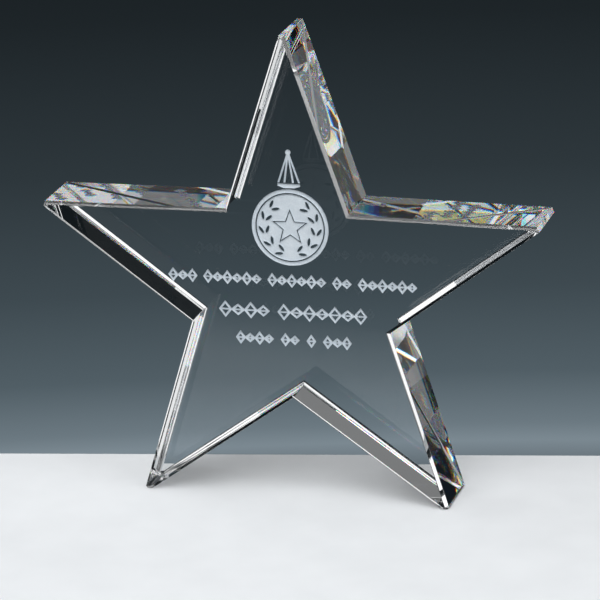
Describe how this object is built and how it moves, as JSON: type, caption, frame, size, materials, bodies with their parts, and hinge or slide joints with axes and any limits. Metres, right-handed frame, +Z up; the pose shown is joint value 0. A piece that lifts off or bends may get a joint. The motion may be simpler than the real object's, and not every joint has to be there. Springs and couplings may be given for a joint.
{
  "type": "star trophy",
  "caption": "Thick five-pointed star of clear optical crystal with chamfered edges, standing on its two lower points, with a frosted medal and rows of ornament etched on the front.",
  "frame": {"origin": "on the standing surface, halfway between the two feet and halfway through the block", "axes": "+Z up, +X to the right of someone facing the etched front face, which faces -Y"},
  "size_m": [0.1738, 0.025, 0.1647],
  "materials": {
    "optical_crystal": "clear, polished all over",
    "etched_frost": "sand-etched, matt white"
  },
  "bodies": {
    "root": {"crystal_star": "optical_crystal", "frost_medal_rim": "etched_frost", "frost_medal_field": "etched_frost", "frost_medal_star": "etched_frost", "frost_hanger": "etched_frost", "frost_cords": "etched_frost", "frost_row1_chain1": "etched_frost", "frost_row1_chain2": "etched_frost", "frost_row1_chain3": "etched_frost", "frost_row1_chain4": "etched_frost", "frost_row1_chain5": "etched_frost", "frost_row2_chain1": "etched_frost", "frost_row2_chain2": "etched_frost", "frost_row3_chain1": "etched_frost", "frost_row3_chain2": "etched_frost", "frost_row3_chain3": "etched_frost", "frost_row3_chain4": "etched_frost"}
  },
  "joints": []
}
